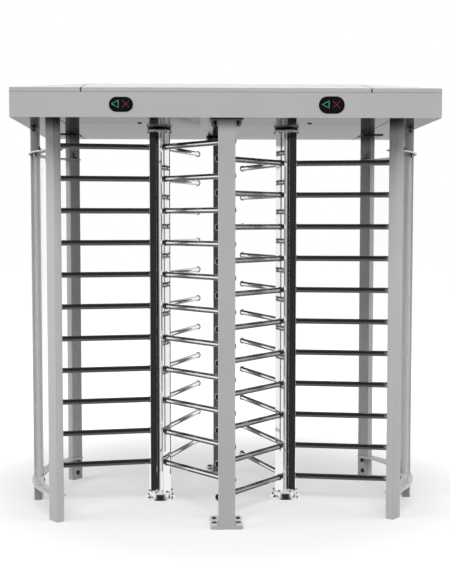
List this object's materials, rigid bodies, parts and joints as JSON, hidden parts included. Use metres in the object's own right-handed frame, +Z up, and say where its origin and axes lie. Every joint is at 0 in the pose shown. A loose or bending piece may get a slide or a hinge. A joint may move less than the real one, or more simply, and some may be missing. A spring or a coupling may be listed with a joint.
{
  "type": "full height turnstile",
  "caption": "Twin full height turnstile: two rotors with horizontal bars that interleave between side posts, curved guards and centre posts under one hipped canopy.",
  "frame": {"origin": "on the floor, at the middle of the canopy's plan", "axes": "+X across both lanes to the right seen from the front, +Y from front to rear, +Z up"},
  "size_m": [2.2, 1.4316, 2.345],
  "materials": {
    "bearing_housings": "blackened steel",
    "canopy_frame": "primed steel",
    "center_foot_plates": "satin stainless steel",
    "center_lid": "white sheet",
    "center_post_angles": "satin stainless steel",
    "center_post_bolts": "satin stainless steel",
    "center_soffit_panel": "satin light grey sheet",
    "center_top_plates": "satin stainless steel",
    "control_box": "grey",
    "floor_base_screws": "blackened steel",
    "floor_bases": "polished stainless steel",
    "front_center_post": "satin stainless steel",
    "front_fascia": "satin light grey sheet",
    "head_plates": "satin stainless steel",
    "indicator_arrows": "green",
    "indicator_crosses": "red",
    "left_bar_caps": "black plastic",
    "left_cam_lock": "polished stainless steel",
    "left_end_fascia": "satin light grey sheet",
    "left_end_plates": "polished stainless steel",
    "left_front_post": "satin stainless steel",
    "left_guard_panel": "clear sheet",
    "left_indicator": "black lens",
    "left_lid": "white sheet",
    "left_lock_disc": "satin stainless steel",
    "left_lock_lever": "satin stainless steel",
    "left_outer_post": "satin stainless steel",
    "left_plate_screws": "blackened steel",
    "left_plunger": "satin stainless steel",
    "left_rear_post": "satin stainless steel",
    "left_rotor_bars": "polished stainless steel",
    "left_rotor_shaft": "polished stainless steel",
    "left_wing_tubes": "polished stainless steel",
    "lower_hoops": "satin stainless steel",
    "panel_clips": "polished stainless steel",
    "post_bolts": "blackened steel",
    "rear_center_post": "satin stainless steel",
    "rear_fascia": "satin light grey sheet",
    "rear_post_top_plates": "satin stainless steel",
    "right_bar_caps": "black plastic",
    "right_cam_lock": "polished stainless steel",
    "right_end_fascia": "satin light grey sheet",
    "right_end_plates": "polished stainless steel",
    "right_front_post": "satin stainless steel",
    "right_guard_panel": "clear sheet",
    "right_indicator": "black lens",
    "right_lid": "white sheet",
    "right_lock_disc": "satin stainless steel",
    "right_lock_lever": "satin stainless steel",
    "right_outer_post": "satin stainless steel",
    "right_plate_screws": "blackened steel",
    "right_plunger": "satin stainless steel",
    "right_rear_post": "satin stainless steel",
    "right_rotor_bars": "polished stainless steel",
    "right_rotor_shaft": "polished stainless steel",
    "right_wing_tubes": "polished stainless steel",
    "side_post_sockets": "satin stainless steel",
    "solenoids": "blackened steel",
    "upper_bearings": "satin stainless steel",
    "upper_hoops": "satin stainless steel"
  },
  "bodies": {
    "frame": {"bearing_housings": "bearing_housings", "canopy_frame": "canopy_frame", "center_foot_plates": "center_foot_plates", "center_lid": "center_lid", "center_post_angles": "center_post_angles", "center_post_bolts": "center_post_bolts", "center_soffit_panel": "center_soffit_panel", "center_top_plates": "center_top_plates", "control_box": "control_box", "floor_base_screws": "floor_base_screws", "floor_bases": "floor_bases", "front_center_post": "front_center_post", "front_fascia": "front_fascia", "head_plates": "head_plates", "indicator_arrows": "indicator_arrows", "indicator_crosses": "indicator_crosses", "left_end_fascia": "left_end_fascia", "left_front_post": "left_front_post", "left_guard_panel": "left_guard_panel", "left_indicator": "left_indicator", "left_lid": "left_lid", "left_outer_post": "left_outer_post", "left_rear_post": "left_rear_post", "lower_hoops": "lower_hoops", "panel_clips": "panel_clips", "post_bolts": "post_bolts", "rear_center_post": "rear_center_post", "rear_fascia": "rear_fascia", "rear_post_top_plates": "rear_post_top_plates", "right_end_fascia": "right_end_fascia", "right_front_post": "right_front_post", "right_guard_panel": "right_guard_panel", "right_indicator": "right_indicator", "right_lid": "right_lid", "right_outer_post": "right_outer_post", "right_rear_post": "right_rear_post", "side_post_sockets": "side_post_sockets", "solenoids": "solenoids", "upper_bearings": "upper_bearings", "upper_hoops": "upper_hoops"},
    "left_rotor": {"left_wing_tubes": "left_wing_tubes", "left_rotor_bars": "left_rotor_bars", "left_bar_caps": "left_bar_caps", "left_end_plates": "left_end_plates", "left_plate_screws": "left_plate_screws", "left_rotor_shaft": "left_rotor_shaft", "left_lock_disc": "left_lock_disc"},
    "left_lock_lever": {"left_lock_lever": "left_lock_lever"},
    "left_plunger": {"left_plunger": "left_plunger"},
    "left_cam_lock": {"left_cam_lock": "left_cam_lock"},
    "right_rotor": {"right_wing_tubes": "right_wing_tubes", "right_rotor_bars": "right_rotor_bars", "right_bar_caps": "right_bar_caps", "right_end_plates": "right_end_plates", "right_plate_screws": "right_plate_screws", "right_rotor_shaft": "right_rotor_shaft", "right_lock_disc": "right_lock_disc"},
    "right_lock_lever": {"right_lock_lever": "right_lock_lever"},
    "right_plunger": {"right_plunger": "right_plunger"},
    "right_cam_lock": {"right_cam_lock": "right_cam_lock"}
  },
  "joints": [
    {"name": "left_rotor_spin", "type": "hinge", "parent": "frame", "child": "left_rotor", "pos_m": [-0.363, -0.05, 1], "axis": [0, 0, 1], "continuous": true},
    {"name": "right_rotor_spin", "type": "hinge", "parent": "frame", "child": "right_rotor", "pos_m": [0.363, -0.05, 1], "axis": [0, 0, 1], "continuous": true},
    {"name": "left_lever_swing", "type": "hinge", "parent": "frame", "child": "left_lock_lever", "pos_m": [-0.473, 0.055, 2.211], "axis": [0, 0, -1], "range_deg": [0, 8]},
    {"name": "left_plunger_slide", "type": "slide", "parent": "frame", "child": "left_plunger", "axis": [0, -1, 0], "range_m": [0, 0.0104]},
    {"name": "left_cam_turn", "type": "hinge", "parent": "frame", "child": "left_cam_lock", "pos_m": [-0.458, -0.3925, 2.135], "axis": [0, 0, 1], "range_deg": [0, 90]},
    {"name": "right_lever_swing", "type": "hinge", "parent": "frame", "child": "right_lock_lever", "pos_m": [0.473, 0.055, 2.211], "axis": [0, 0, 1], "range_deg": [0, 8]},
    {"name": "right_plunger_slide", "type": "slide", "parent": "frame", "child": "right_plunger", "axis": [0, -1, 0], "range_m": [0, 0.0104]},
    {"name": "right_cam_turn", "type": "hinge", "parent": "frame", "child": "right_cam_lock", "pos_m": [0.458, -0.3925, 2.135], "axis": [0, 0, -1], "range_deg": [0, 90]}
  ],
  "couplings": [
    {"joint": "left_plunger_slide", "follows": "left_lever_swing", "m_per_rad": 0.0744},
    {"joint": "right_plunger_slide", "follows": "right_lever_swing", "m_per_rad": 0.0744}
  ]
}
